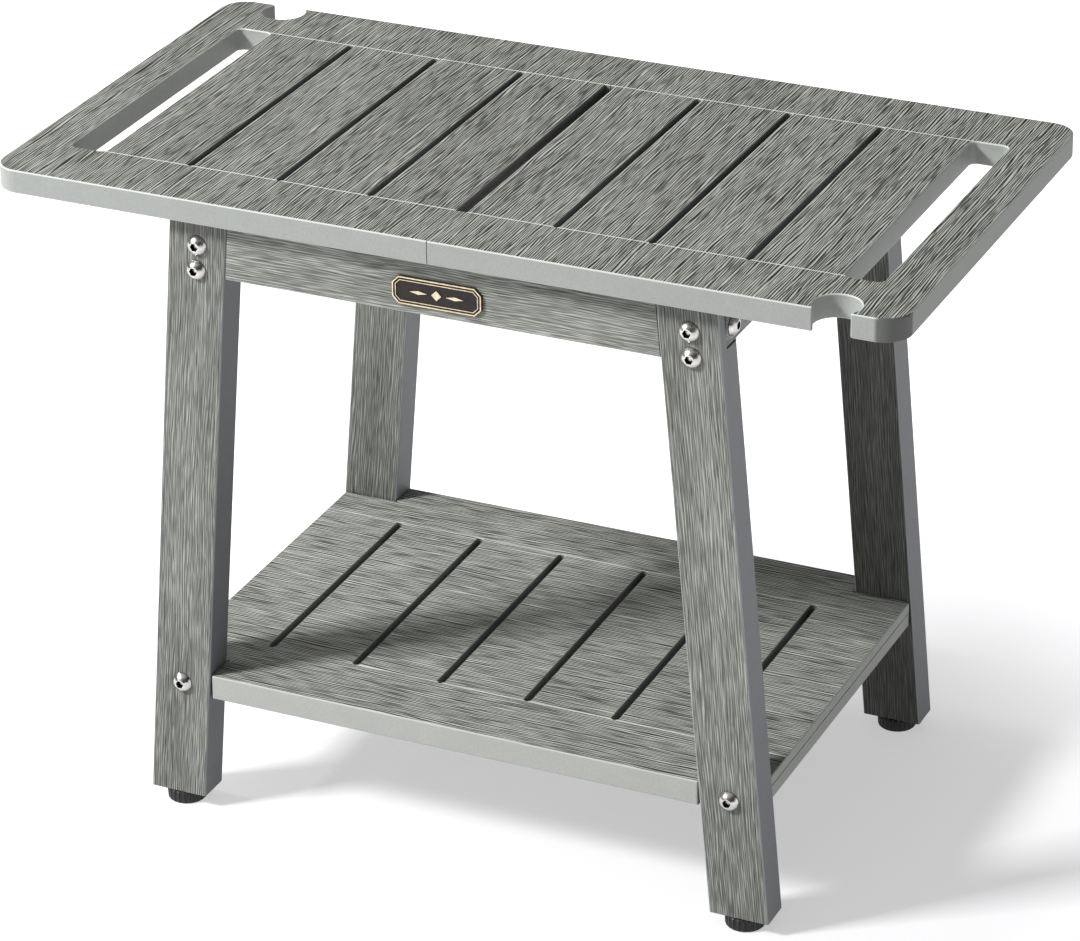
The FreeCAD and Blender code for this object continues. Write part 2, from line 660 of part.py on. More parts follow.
def bolt(label, length):
    """A button-head bolt along Z, its head's seat at the origin, with a hexagon socket."""
    body = new_body(label, exported=False)
    profile = sketch_on(body, "XZ_Plane")
    shank = "Dims.bolt_diameter / 2"
    rim = "Dims.head_diameter / 2"
    flat = "Dims.head_flat / 2"
    tip = f"-({length})"
    spots = (
        ("0", tip),
        (f"{shank} - Dims.bolt_point", tip),
        (shank, f"{tip} + Dims.bolt_point"),
        (shank, "0"),
        (rim, "0"),
        (rim, "Dims.head_rim"),
        (flat, "Dims.head_height"),
        ("0", "Dims.head_height"),
    )
    dome = spots.index((rim, "Dims.head_rim"))
    bulge = number("Dims.head_rim")
    for index, spot in enumerate(spots):
        start = at(spot)
        end = at(spots[(index + 1) % len(spots)])
        if index == dome:
            profile.addGeometry(Part.Arc(start, (start + end) / 2 + FreeCAD.Vector(bulge, bulge, 0), end))
        else:
            profile.addGeometry(Part.LineSegment(start, end))
    join(profile, 0, len(spots) - 1)
    for index, spot in enumerate(spots):
        place(profile, index, 1, spot)
    radius = "Dims.head_dome_radius"
    bind(profile, Sketcher.Constraint("Radius", dome, number(radius)), radius)
    revolve(body, profile)
    socket = sketch_on(body, "XY_Plane", "Dims.head_height")
    corner = "Dims.socket_width / sqrt(3)"
    outline = []
    for step in range(SOCKET_SIDES):
        angle = f"{step} * 360 deg / {SOCKET_SIDES}"
        outline.append((f"{corner} * cos({angle})", f"{corner} * sin({angle})"))
    add_polygon(socket, outline)
    pocket(body, socket, "Dims.socket_depth")
    return body


def screw(label, length):
    """A pan-head screw along Z, its head's seat at the origin, with a cross-shaped socket."""
    body = new_body(label, exported=False)
    profile = sketch_on(body, "XZ_Plane")
    shank = "Dims.screw_diameter / 2"
    rim = "Dims.screw_head_diameter / 2"
    tip = f"-({length})"
    add_polygon(
        profile,
        (
            ("0", tip),
            (shank, f"{tip} + Dims.screw_point"),
            (shank, "0"),
            (rim, "0"),
            (rim, "Dims.screw_head_height / 2"),
            (f"{rim} - Dims.screw_head_ease", "Dims.screw_head_height"),
            ("0", "Dims.screw_head_height"),
        ),
    )
    revolve(body, profile)
    socket = sketch_on(body, "XY_Plane", "Dims.screw_head_height")
    arm = "Dims.cross_arm"
    half = "Dims.cross_half_width"
    outline = []
    for first, second in ((1, 1), (-1, 1), (-1, -1), (1, -1)):
        tip_along_x = (f"{first} * {arm}", f"{second} * {half}")
        inner_corner = (f"{first} * {half}", f"{second} * {half}")
        tip_along_y = (f"{first} * {half}", f"{second} * {arm}")
        quarter = (tip_along_x, inner_corner, tip_along_y)
        outline.extend(quarter if first == second else reversed(quarter))
    add_polygon(socket, outline)
    pocket(body, socket, "Dims.cross_depth")
    return body


def insert(label, outside, inside, length):
    """A threaded insert: a sleeve along Z with its mouth at the origin and a grip groove."""
    body = new_body(label, exported=False)
    profile = sketch_on(body, "XZ_Plane")
    outer = f"({outside} / 2 - Dims.running_fit)"
    inner = f"({inside} / 2)"
    groove = f"({outer} - Dims.insert_groove)"
    middle = f"-{length} / 2"
    add_polygon(
        profile,
        (
            (inner, "0"),
            (inner, f"-{length}"),
            (outer, f"-{length}"),
            (outer, f"{middle} - 2 * Dims.insert_groove"),
            (groove, f"{middle} - Dims.insert_groove"),
            (groove, f"{middle} + Dims.insert_groove"),
            (outer, f"{middle} + 2 * Dims.insert_groove"),
            (outer, "0"),
        ),
    )
    revolve(body, profile)
    return body


def facing_y(toward_back):
    """Turns a fastener's head from +Z to the front, or to the back."""
    return FreeCAD.Rotation(X_AXIS, -QUARTER_TURN if toward_back else QUARTER_TURN)


def group(label, master, placements):
    """One node of identical fasteners: a link to the master for each place."""
    links = []
    for spot, rotation in placements:
        link = doc.addObject("App::Link", f"{label}_link")
        link.LinkedObject = master
        link.Placement = FreeCAD.Placement(spot, rotation)
        links.append(link)
    compound = doc.addObject("Part::Compound", label)
    compound.Label = label
    compound.Links = links
    doc.recompute()
    sub_parts.append(compound)


def leg_places(heights, depth):
    """Places on every leg's centre line, at that distance from the middle, facing outwards."""
    places = []
    for _, side, end in CORNERS:
        for height in heights:
            across = side * number(leg_centre_x(height))
            spot = FreeCAD.Vector(across, end * number(depth), number(height))
            places.append((spot, facing_y(end > 0)))
    return places


def rail_places(distance):
    places = []
    for _, side, end in CORNERS:
        along = end * number("Dims.rail_bolt_y")
        spot = FreeCAD.Vector(side * number(distance), along, number(RAIL_BOLT_Z))
        places.append((spot, FreeCAD.Rotation(Y_AXIS, side * QUARTER_TURN)))
    return places


def fasteners():
    bolt_z = (UPPER_BOLT_Z, LOWER_BOLT_Z)
    leg_bolt = bolt("leg_bolt", "Dims.leg_bolt_length")
    group("leg_bolts", leg_bolt, leg_places(bolt_z, LEG_FRONT))
    shelf_bolt = bolt("shelf_bolt", "Dims.shelf_bolt_length")
    group("shelf_bolts", shelf_bolt, leg_places((SHELF_MIDDLE,), LEG_FRONT))
    rail_bolt = bolt("side_rail_bolt", "Dims.rail_bolt_length")
    group("side_rail_bolts", rail_bolt, rail_places("Dims.side_rail_x"))
    sleeve = insert("insert", "Dims.insert_diameter", "Dims.insert_bore", "Dims.insert_length")
    group("seat_rail_inserts", sleeve, leg_places(bolt_z, LEG_BACK))
    group("shelf_inserts", sleeve, leg_places((SHELF_MIDDLE,), LEG_BACK))
    small_sleeve = insert(
        "leg_insert", "Dims.leg_insert_diameter", "Dims.insert_bore", "Dims.leg_insert_length"
    )
    group("leg_inserts", small_sleeve, rail_places(LAP_X))
    foot_sleeve = insert(
        "foot_insert", "Dims.foot_insert_diameter", "Dims.foot_insert_bore", "Dims.foot_insert_length"
    )
    bottom = number("Dims.leg_bottom_z")
    downwards = FreeCAD.Rotation(X_AXIS, HALF_TURN)
    foot_places = []
    for _, side, end in CORNERS:
        foot_places.append((FreeCAD.Vector(side * number(FOOT_X), end * number(FOOT_Y), bottom), downwards))
    group("foot_inserts", foot_sleeve, foot_places)
    apron_places = []
    panel_places = []
    seat_y = number(f"{RAIL_BACK} + Dims.apron_screw_depth")
    seat_z = number(f"{UNDERSIDE} - Dims.seat_rail_height + Dims.panel_screw_depth")
    for end in (-1, 1):
        for step in (-1, 0, 1):
            across = step * number("Dims.apron_screw_pitch")
            spot = FreeCAD.Vector(across, end * seat_y, number(APRON_SCREW_Z))
            apron_places.append((spot, facing_y(end < 0)))
        for across, along in panel_screw_spots():
            spot = FreeCAD.Vector(number(across), -end * number(along), seat_z)
            panel_places.append((spot, downwards))
    group("apron_screws", screw("apron_screw", "Dims.apron_screw_length"), apron_places)
    group("panel_screws", screw("panel_screw", "Dims.panel_screw_length"), panel_places)


def put_under_leg(body, side, end):
    body.setExpression("Placement.Base.x", f"{side} * {FOOT_X}")
    body.setExpression("Placement.Base.y", f"{end} * {FOOT_Y}")


def foot_stud(corner, side, end):
    """The threaded stud of a foot, screwed right in."""
    body = new_body(f"foot_stud_{corner}")
    profile = sketch_on(body, "XZ_Plane")
    radius = "Dims.stud_diameter / 2"
    add_polygon(
        profile,
        (
            ("0", "Dims.stud_bottom"),
            (radius, "Dims.stud_bottom"),
            (radius, "Dims.stud_top - Dims.stud_point"),
            (f"{radius} - Dims.stud_point", "Dims.stud_top"),
            ("0", "Dims.stud_top"),
        ),
    )
    revolve(body, profile)
    put_under_leg(body, side, end)


def foot_knob(corner, side, end):
    """The fluted knob that a foot stands on: it narrows towards the floor."""
    body = new_body(f"foot_knob_{corner}")
    profile = sketch_on(body, "XZ_Plane")
    bore = "(Dims.stud_diameter / 2 + Dims.running_fit)"
    floor_radius = "Dims.knob_floor_diameter / 2"
    top_radius = "Dims.knob_diameter / 2"
    add_polygon(
        profile,
        (
            ("0", "0"),
            (f"{floor_radius} - Dims.knob_floor_ease", "0"),
            (floor_radius, "Dims.knob_floor_ease"),
            (top_radius, "Dims.knob_height - Dims.knob_top_ease"),
            (f"{top_radius} - Dims.knob_top_inset", "Dims.knob_height"),
            (bore, "Dims.knob_height"),
            (bore, "Dims.knob_bore_floor"),
            ("0", "Dims.knob_bore_floor"),
        ),
    )
    revolve(body, profile)
    flute = sketch_on(body, "XY_Plane", "Dims.knob_height")
    flute_x = "Dims.knob_diameter / 2 + Dims.knob_flute_offset"
    add_circle(flute, (flute_x, "0"), "2 * Dims.knob_flute_radius")
    cut = pocket(body, flute, "Dims.knob_height")
    pattern = body.newObject("PartDesign::PolarPattern", f"{body.Name}_flutes")
    pattern.Originals = [cut]
    axis = [item for item in body.Origin.OriginFeatures if item.Role == "Z_Axis"][0]
    pattern.Axis = (axis, [""])
    pattern.Angle = 360
    pattern.setExpression("Occurrences", "Dims.knob_lobes")
    body.Tip = pattern
    doc.recompute()
    put_under_leg(body, side, end)


def badge_corners(inset):
    """The badge's outline, set in by a distance, with its corners cut off."""
    across = f"(Dims.badge_length / 2 - {inset})"
    up = f"(Dims.badge_height / 2 - {inset})"
    cut = f"(Dims.badge_corner - {inset} * (2 - sqrt(2)))"
    middle = "(Dims.seat_height - Dims.badge_drop)"
    left = f"-({across} - {cut})"
    right = f"{across} - {cut}"
    low = f"{middle} - ({up} - {cut})"
    high = f"{middle} + ({up} - {cut})"
    return (
        (left, f"{middle} - {up}"),
        (right, f"{middle} - {up}"),
        (across, low),
        (across, high),
        (right, f"{middle} + {up}"),
        (left, f"{middle} + {up}"),
        (f"-{across}", high),
        (f"-{across}", low),
    )


def badge_plate():
    """A blank plate with two raised rims and three raised lozenges."""
    body = new_body("badge_plate")
    behind = f"({LEG_FRONT} - Dims.apron_recess)"
    front = f"({behind} + Dims.badge_thickness - Dims.badge_root)"
    plate = sketch_on(body, "XZ_Plane", behind)
    add_polygon(plate, badge_corners("0"))
    pad(body, plate, "Dims.badge_thickness")
    rims = (
        ("Dims.badge_rim_inset", "Dims.badge_rim_width"),
        ("Dims.badge_inner_inset", "Dims.badge_inner_width"),
    )
    for inset, width in rims:
        ring = sketch_on(body, "XZ_Plane", front)
        add_polygon(ring, badge_corners(inset))
        add_polygon(ring, badge_corners(f"({inset} + {width})"))
        pad(body, ring, "Dims.badge_rim_height")
    middle = "(Dims.seat_height - Dims.badge_drop)"
    ornament = sketch_on(body, "XZ_Plane", front)
    for step, kind in ((-1, "outer"), (0, "middle"), (1, "outer")):
        centre = f"{step} * Dims.lozenge_pitch"
        half_length = f"Dims.{kind}_lozenge_length / 2"
        half_height = f"Dims.{kind}_lozenge_height / 2"
        add_polygon(
            ornament,
            (
                (f"{centre} - {half_length}", middle),
                (centre, f"{middle} - {half_height}"),
                (f"{centre} + {half_length}", middle),
                (centre, f"{middle} + {half_height}"),
            ),
        )
    pad(body, ornament, "Dims.badge_rim_height")


def build():
    for label, turn in (("top_panel_right", 0), ("top_panel_left", HALF_TURN)):
        top_panel(label, turn)
        pilot_holes(sub_parts[-1], turn)
    leg("leg_front_right", 1, 0)
    leg("leg_front_left", -1, 0)
    leg("leg_back_left", 1, HALF_TURN)
    leg("leg_back_right", -1, HALF_TURN)
    for name, turn in (("front", 0), ("back", HALF_TURN)):
        apron(f"apron_{name}", turn)
        seat_rail(f"seat_rail_{name}", turn)
    for name, turn in (("right", 0), ("left", HALF_TURN)):
        side_rail(f"side_rail_{name}", turn)
    shelf()
    badge_plate()
    fasteners()
    for corner, side, end in CORNERS:
        foot_stud(corner, side, end)
        foot_knob(corner, side, end)
    doc.recompute()


def check():
    """Stops if a feature failed or a sub-part has no sound shape."""
    for item in doc.Objects:
        if "Invalid" in item.State or "Error" in item.State:
            raise RuntimeError(f"{item.Name} failed: {item.State}")
    for item in sub_parts:
        shape = item.Shape
        if shape.isNull() or not shape.isValid() or not shape.Solids:
            raise RuntimeError(f"{item.Label} has no sound shape")


def write():
    os.makedirs("parts", exist_ok=True)
    for item in sub_parts:
        item.Shape.exportStep(f"parts/{item.Label}.step")
        box = item.Shape.BoundBox
        size = f"{box.XLength:.1f} x {box.YLength:.1f} x {box.ZLength:.1f}"
        print(f"{item.Label}: {len(item.Shape.Solids)} solid(s), {size} mm, {item.Shape.Volume:.0f} mm3")


build()
check()
write()
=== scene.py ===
import math

import bpy
from mathutils import Matrix, Vector


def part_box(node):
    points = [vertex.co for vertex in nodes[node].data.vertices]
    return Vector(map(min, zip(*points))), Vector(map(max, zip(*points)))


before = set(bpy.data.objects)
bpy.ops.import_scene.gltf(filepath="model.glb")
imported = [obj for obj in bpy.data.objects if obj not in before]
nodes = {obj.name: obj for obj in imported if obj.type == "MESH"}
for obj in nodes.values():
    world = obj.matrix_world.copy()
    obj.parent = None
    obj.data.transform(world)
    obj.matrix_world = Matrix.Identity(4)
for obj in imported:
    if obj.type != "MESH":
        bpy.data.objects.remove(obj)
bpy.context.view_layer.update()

MM = 0.001


# ---------------------------------------------------------------- node helpers


class Tree:
    """A short way to write shader nodes: what makes a node returns its output socket."""

    def __init__(self, name):
        self.material = bpy.data.materials.new(name)
        self.material.use_nodes = True
        self.nodes = self.material.node_tree.nodes
        self.links = self.material.node_tree.links
        self.nodes.clear()
        self.output = self.nodes.new("ShaderNodeOutputMaterial")
        self.shader = self.nodes.new("ShaderNodeBsdfPrincipled")
        self.links.new(self.shader.outputs["BSDF"], self.output.inputs["Surface"])

    def feed(self, socket, value):
        if isinstance(value, bpy.types.NodeSocket):
            self.links.new(value, socket)
        else:
            socket.default_value = value

    def set(self, **values):
        """Sets the shader's inputs; an underscore in a name stands for a space."""
        for name, value in values.items():
            self.feed(self.shader.inputs[name.replace("_", " ")], value)

    def math(self, operation, *values):
        node = self.nodes.new("ShaderNodeMath")
        node.operation = operation
        for socket, value in zip(node.inputs, values):
            self.feed(socket, value)
        return node.outputs[0]

    def vector(self, operation, *values):
        node = self.nodes.new("ShaderNodeVectorMath")
        node.operation = operation
        for socket, value in zip(node.inputs, values):
            self.feed(socket, value)
        return node.outputs["Value"] if operation == "DOT_PRODUCT" else node.outputs["Vector"]

    def coordinate(self, kind):
        return self.nodes.new("ShaderNodeTexCoord").outputs[kind]

    def combine(self, x, y, z):
        node = self.nodes.new("ShaderNodeCombineXYZ")
        for socket, value in zip(node.inputs, (x, y, z)):
            self.feed(socket, value)
        return node.outputs[0]

    def separate(self, value):
        node = self.nodes.new("ShaderNodeSeparateXYZ")
        self.feed(node.inputs[0], value)
        return node.outputs

    def noise(self, place, stretch, detail=2.0, roughness=0.5):
        """Noise whose cells measure 1 / stretch metres along each axis."""
        node = self.nodes.new("ShaderNodeTexNoise")
        self.feed(node.inputs["Vector"], self.vector("MULTIPLY", place, stretch))
        node.inputs["Scale"].default_value = 1.0
        node.inputs["Detail"].default_value = detail
        node.inputs["Roughness"].default_value = roughness
        return node.outputs[0]

    def ramp(self, value, low, high, to_low=0.0, to_high=1.0, smooth=False):
        node = self.nodes.new("ShaderNodeMapRange")
        node.interpolation_type = "SMOOTHSTEP" if smooth else "LINEAR"
        node.clamp = True
        for socket, item in zip(node.inputs, (value, low, high, to_low, to_high)):
            self.feed(socket, item)
        return node.outputs[0]

    def mix(self, factor, first, second):
        node = self.nodes.new("ShaderNodeMix")
        node.data_type = "RGBA"
        self.feed(node.inputs[0], factor)
        for socket, value in ((node.inputs[6], first), (node.inputs[7], second)):
            self.feed(socket, value)
        return node.outputs[2]

    def occlusion(self, samples, distance):
        """1 in the open, towards 0 in crevices narrower than the distance."""
        node = self.nodes.new("ShaderNodeAmbientOcclusion")
        node.samples = samples
        node.inputs["Distance"].default_value = distance
        return node.outputs["AO"]

    def bump(self, height, distance, strength=1.0, below=None):
        node = self.nodes.new("ShaderNodeBump")
        node.inputs["Strength"].default_value = strength
        node.inputs["Distance"].default_value = distance
        self.feed(node.inputs["Height"], height)
        if below is not None:
            self.feed(node.inputs["Normal"], below)
        return node.outputs[0]


def linear(red, green, blue):
    """A display colour, 0 to 255, as the shader's linear colour."""
    parts = []
    for part in (red, green, blue):
        part = part / 255
        parts.append(part / 12.92 if part <= 0.04045 else ((part + 0.055) / 1.055) ** 2.4)
    return (*parts, 1.0)


def shade(colour, factor):
    return (*(part * factor for part in colour[:3]), 1.0)


# ------------------------------------------------------------------- materials

X_AXIS, Y_AXIS, Z_AXIS = (1, 0, 0), (0, 1, 0), (0, 0, 1)
TURN = 2 * math.pi

GRAIN_DARK = linear(36, 37, 35)
GRAIN_MID = linear(118, 121, 115)
GRAIN_LIGHT = linear(204, 207, 198)
SEAT_CUT = linear(157, 160, 156)
SHELF_CUT = linear(170, 173, 168)
SKIN_FACE = linear(130, 133, 136)
# the colour of the painted shade in crevices and narrow gaps
CREVICE_SHADE = linear(34, 34, 33)

GRAIN_PITCH = 1.7 * MM  # from one pressed line to the next
GRAIN_SWAY = 5 * MM  # how far the lines wander to the side
DRIFT_TURNS = 2.2  # how far neighbouring lines slip against each other
SEED_STEP = (1.37, 0.71, 0.53)  # metres of noise between one board and the next

# How strongly each layer of the grain lightens or darkens a board.
MIDDLE_VALUE = 0.52
FIBRE_WEIGHT = 0.16
RIDGED_FIBRE_WEIGHT = 0.25
LINE_WEIGHT = 0.24
BLOT_WEIGHT = 0.15
SHADOW_WEIGHT = 0.06
CRACK_WEIGHT = -0.30

# The seat's drain slots.
SLOT_PITCH = 64 * MM
SLOTS_REACH = 3.5 * SLOT_PITCH  # past the outermost slot
SLOT_HALF_WIDTH = 2.5 * MM
CENTRE_SLOT_HALF_WIDTH = 4 * MM
SLOT_HALF_LENGTH = 115 * MM
LIP_END = 2 * MM
LIP_FULL, LIP_GONE = 0.4 * MM, 1.1 * MM  # measured from the slot's wall
# how pale the painted highlight on the slot rims is
RIM_HIGHLIGHT_TONE = 1.4

SEAT = (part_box("top_panel_left")[0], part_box("top_panel_right")[1])
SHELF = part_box("shelf")
CORNER_REACH = 20 * MM


def inside(box, end, edge):
    """The box less a margin at both ends and both long edges."""
    margin = Vector((end, edge, 0))
    return box[0] + margin, box[1] - margin


SEAT_SLOTS = inside(SEAT, 70 * MM, 20 * MM)
SHELF_SLOTS = inside(SHELF, 20 * MM, 20 * MM)


def grain_places(tree, where, grain, face, seed):
    """Coordinates along, across and through a board: straight ones, and swaying ones."""
    ways = (grain, face.cross(grain), face)
    flat = tree.combine(*[tree.vector("DOT_PRODUCT", where, tuple(way)) for way in ways])
    flat = tree.vector("ADD", flat, tuple(seed * step for step in SEED_STEP))
    sway = tree.noise(flat, (7, 12, 12), detail=1.0)
    sway = tree.math("MULTIPLY", tree.math("SUBTRACT", sway, 0.5), GRAIN_SWAY)
    return flat, tree.vector("ADD", flat, tree.combine(0.0, sway, 0.0))


def grain_layers(tree, place, ridges, run, coarse):
    """How light the grain is, 0 to 1, and how high it stands."""
    fine = tree.noise(place, (28 * run, 1900, 1900), detail=0.0)
    streak = tree.noise(place, (22 * run, 950, 950), detail=1.0)
    drift = tree.noise(place, (7 * run, 200, 200), detail=0.0)
    fade = tree.noise(place, (20 * run, 620, 620), detail=0.0)
    vein = tree.noise(place, (26 * run, 700, 700), detail=0.0)
    patch = tree.noise(place, (8, 42, 42), detail=2.0)
    cloud = tree.noise(place, (4, 10, 10), detail=1.0)

    turn = tree.math("MULTIPLY", tree.separate(place)[1], TURN / GRAIN_PITCH)
    turn = tree.math("MULTIPLY_ADD", drift, DRIFT_TURNS * TURN, turn)
    ridge = tree.ramp(tree.math("SINE", turn), -0.75, 0.75, -1.0, 1.0)
    ridge = tree.math("MULTIPLY", ridge, tree.ramp(fade, 0.35, 0.65, 0.12, 0.5))
    fibre = tree.ramp(fine, 0.35, 0.65, -0.5, 0.5)
    line = tree.ramp(streak, 0.32, 0.68, -0.5, 0.5)
    crack = tree.ramp(vein, 0.36, 0.28, smooth=True)
    blot = tree.ramp(patch, 0.32, 0.68, -0.5, 0.5)
    shadow = tree.ramp(cloud, 0.35, 0.65, -0.5, 0.5)

    value = MIDDLE_VALUE
    for layer, weight in (
        (ridge, ridges),
        (fibre, FIBRE_WEIGHT + RIDGED_FIBRE_WEIGHT * ridges),
        (line, LINE_WEIGHT * coarse),
        (blot, BLOT_WEIGHT),
        (shadow, SHADOW_WEIGHT),
        (crack, CRACK_WEIGHT * coarse),
    ):
        value = tree.math("MULTIPLY_ADD", layer, weight, value)

    relief = tree.math("MULTIPLY", ridge, min(ridges, 1.0))
    for layer, weight in ((fibre, 0.35), (line, 0.35), (crack, -0.6)):
        relief = tree.math("MULTIPLY_ADD", layer, weight, relief)
    return value, relief


def slot_rim_highlight(tree, where):
    """1 where a pale highlight is painted along the right rim of each of the seat's drain slots, 0
    elsewhere.
    """
    x, y, _ = tree.separate(where)
    x_size = tree.math("ABSOLUTE", x)
    half_width = tree.ramp(
        x_size, 0.45 * SLOT_PITCH, 0.55 * SLOT_PITCH, CENTRE_SLOT_HALF_WIDTH, SLOT_HALF_WIDTH
    )
    beside = tree.math("SUBTRACT", tree.math("PINGPONG", x, SLOT_PITCH / 2), half_width)
    lip = tree.ramp(beside, LIP_FULL, LIP_GONE, 1.0, 0.0, smooth=True)
    nearest = tree.math("ROUND", tree.math("DIVIDE", x, SLOT_PITCH))
    from_middle = tree.math("MULTIPLY_ADD", nearest, -SLOT_PITCH, x)
    y_size = tree.math("ABSOLUTE", y)
    for mask in (
        tree.math("GREATER_THAN", from_middle, 0.0),
        tree.ramp(y_size, SLOT_HALF_LENGTH - LIP_END, SLOT_HALF_LENGTH, 1.0, 0.0),
        tree.math("LESS_THAN", x_size, SLOTS_REACH),
    ):
        lip = tree.math("MULTIPLY", lip, mask)
    return lip


def within_box(tree, where, box):
    """1 inside a box as seen from above, 0 outside."""
    low, high = box
    middle, half = (low + high) / 2, (high - low) / 2
    offset = tree.vector("ABSOLUTE", tree.vector("SUBTRACT", where, tuple(middle)))
    x, y, _ = tree.separate(offset)
    return tree.math(
        "MULTIPLY", tree.math("LESS_THAN", x, half.x), tree.math("LESS_THAN", y, half.y)
    )


def corner_curve(tree, where):
    """1 on the seat's front right corner, where the printed skin wraps round the edge."""
    x, y, _ = tree.separate(tree.coordinate("Normal"))
    curve = tree.math("MULTIPLY", tree.ramp(x, 0.05, 0.12), tree.ramp(y, -0.05, -0.12))
    at_end = tree.math("GREATER_THAN", tree.separate(where)[0], SEAT[1].x - CORNER_REACH)
    return tree.math("MULTIPLY", curve, at_end)


def board(name, grain, face, seed, tone=1.0, ridges=0.4, run=2.5, coarse=0.4, sides=SEAT_CUT,
          edge_wear_and_highlight=1.5, slots=None, seat_rim_highlights=False, skinned_corner=False):
    """Grey lumber board: pressed grain on its broad faces, plain core on cut faces, paler
    where its edges are eased, partly as wear and partly as a painted highlight, and painted
    darker as shade in its crevices. Ridges is how strongly the press left straight lines, run how
    often its lines break, and coarse how strong its broad streaks are. Slots is the box that
    holds the drain slots, whose walls are painted darker towards the bottom as shade."""
    tree = Tree(name)
    grain = Vector(grain).normalized()
    face = Vector(face).normalized()
    where = tree.coordinate("Object")
    flat, place = grain_places(tree, where, grain, face, seed)
    value, relief = grain_layers(tree, place, ridges, run, coarse)
    wood = tree.mix(tree.ramp(value, 0.0, 0.5), shade(GRAIN_DARK, tone), shade(GRAIN_MID, tone))
    wood = tree.mix(tree.ramp(value, 0.5, 1.0), wood, shade(GRAIN_LIGHT, tone))
    # Painted highlight along the right rims of the seat's drain slots.
    if seat_rim_highlights:
        wood = tree.mix(slot_rim_highlight(tree, where), wood, shade(sides, RIM_HIGHLIGHT_TONE))

    facing = tree.vector("DOT_PRODUCT", tree.coordinate("Normal"), tuple(face))
    facing = tree.math("ABSOLUTE", facing)
    pressed = tree.ramp(facing, 0.90, 0.985, smooth=True)
    eased = tree.ramp(facing, 0.12, 0.45, smooth=True)

    speck = tree.noise(flat, (700, 700, 700), detail=2.0, roughness=0.7)
    mottle = tree.noise(flat, (60, 60, 60), detail=3.0, roughness=0.6)
    core = tree.mix(tree.ramp(speck, 0.3, 0.7), shade(sides, 0.90), shade(sides, 1.06))
    core = tree.mix(tree.ramp(mottle, 0.35, 0.65, 0.0, 0.35), core, shade(sides, 0.86))
    # Eased edges paler: partly worn core, partly a painted highlight where the edges catch the light.
    core = tree.mix(eased, core, shade(sides, edge_wear_and_highlight))

    # Painted shade: the colour darkens in crevices and narrow gaps that the occlusion finds.
    crevice = tree.occlusion(samples=4, distance=5 * MM)
    crevice_shade = tree.ramp(crevice, 0.25, 0.75, 0.5, 0.0, smooth=True)
    if slots:
        # Painted shade: the slot walls darken from the rim towards the bottom, and the painted crevice
        # shade is lessened on their upper rims.
        within = within_box(tree, where, slots)
        depth = tree.math("SUBTRACT", slots[1].z, tree.separate(where)[2])
        down = tree.ramp(depth, 1.2 * MM, 4.5 * MM)
        wall = tree.mix(down, shade(sides, 0.55), shade(sides, 0.20))
        groove = tree.mix(tree.ramp(depth, 0.3 * MM, 0.7 * MM, smooth=True), core, wall)
        core = tree.mix(within, core, groove)
        less = tree.math("SUBTRACT", tree.ramp(depth, 0.5 * MM, 1.5 * MM, 0.0, 0.35), 1.0)
        crevice_shade = tree.math("MULTIPLY", crevice_shade, tree.math("MULTIPLY_ADD", within, less, 1.0))
    if skinned_corner:
        core = tree.mix(corner_curve(tree, where), core, shade(sides, 0.34))

    rough_wood = tree.math("MULTIPLY", tree.ramp(value, 0.2, 0.8, 0.62, 0.46), pressed)
    rough_core = tree.math(
        "MULTIPLY", tree.ramp(speck, 0.3, 0.7, 0.50, 0.62), tree.math("SUBTRACT", 1.0, pressed)
    )
    peel = tree.bump(tree.noise(flat, (420, 420, 420), detail=2.0), 0.04 * MM, 0.5)
    tree.set(
        Base_Color=tree.mix(crevice_shade, tree.mix(pressed, core, wood), CREVICE_SHADE),
        Roughness=tree.math("ADD", rough_wood, rough_core),
        Specular_IOR_Level=0.4,
        Normal=tree.bump(tree.math("MULTIPLY", relief, pressed), 0.12 * MM, 0.7, peel),
    )
    return tree.material


def polished_steel():
    """Bright button heads, painted dark as shade deep in their sockets."""
    tree = Tree("polished_steel")
    where = tree.coordinate("Object")
    smear = tree.noise(where, (260, 260, 260), detail=3.0)
    scratch = tree.noise(where, (2400, 500, 900), detail=2.0)
    # Painted shade: near black where the sockets are deep.
    open_metal = tree.ramp(
        tree.occlusion(samples=6, distance=2.5 * MM), 0.58, 0.90, smooth=True
    )
    bright = tree.mix(tree.ramp(smear, 0.3, 0.7), (0.48, 0.47, 0.455, 1), (0.61, 0.60, 0.58, 1))
    tree.set(
        Base_Color=tree.mix(open_metal, (0.012, 0.011, 0.011, 1), bright),
        Metallic=1.0,
        Roughness=tree.ramp(smear, 0.3, 0.7, 0.20, 0.30),
        Normal=tree.bump(scratch, 0.006 * MM, 0.3),
    )
    return tree.material


def zinc_steel():
    """Plated screws and studs."""
    tree = Tree("zinc_steel")
    where = tree.coordinate("Object")
    bloom = tree.noise(where, (330, 330, 330), detail=3.0)
    tree.set(
        Base_Color=tree.mix(tree.ramp(bloom, 0.3, 0.7), (0.42, 0.43, 0.44, 1), (0.60, 0.61, 0.63, 1)),
        Metallic=1.0,
        Roughness=tree.ramp(bloom, 0.3, 0.7, 0.30, 0.48),
        Normal=tree.bump(bloom, 0.02 * MM, 0.3),
    )
    return tree.material


def turned_brass():
    """Threaded inserts, a little tarnished."""
    tree = Tree("turned_brass")
    where = tree.coordinate("Object")
    tarnish = tree.noise(where, (300, 300, 300), detail=3.0)
    tree.set(
        Base_Color=tree.mix(tree.ramp(tarnish, 0.3, 0.7), (0.42, 0.31, 0.14, 1), (0.62, 0.48, 0.24, 1)),
        Metallic=1.0,
        Roughness=tree.ramp(tarnish, 0.3, 0.7, 0.26, 0.42),
        Normal=tree.bump(tarnish, 0.02 * MM, 0.3),
    )
    return tree.material


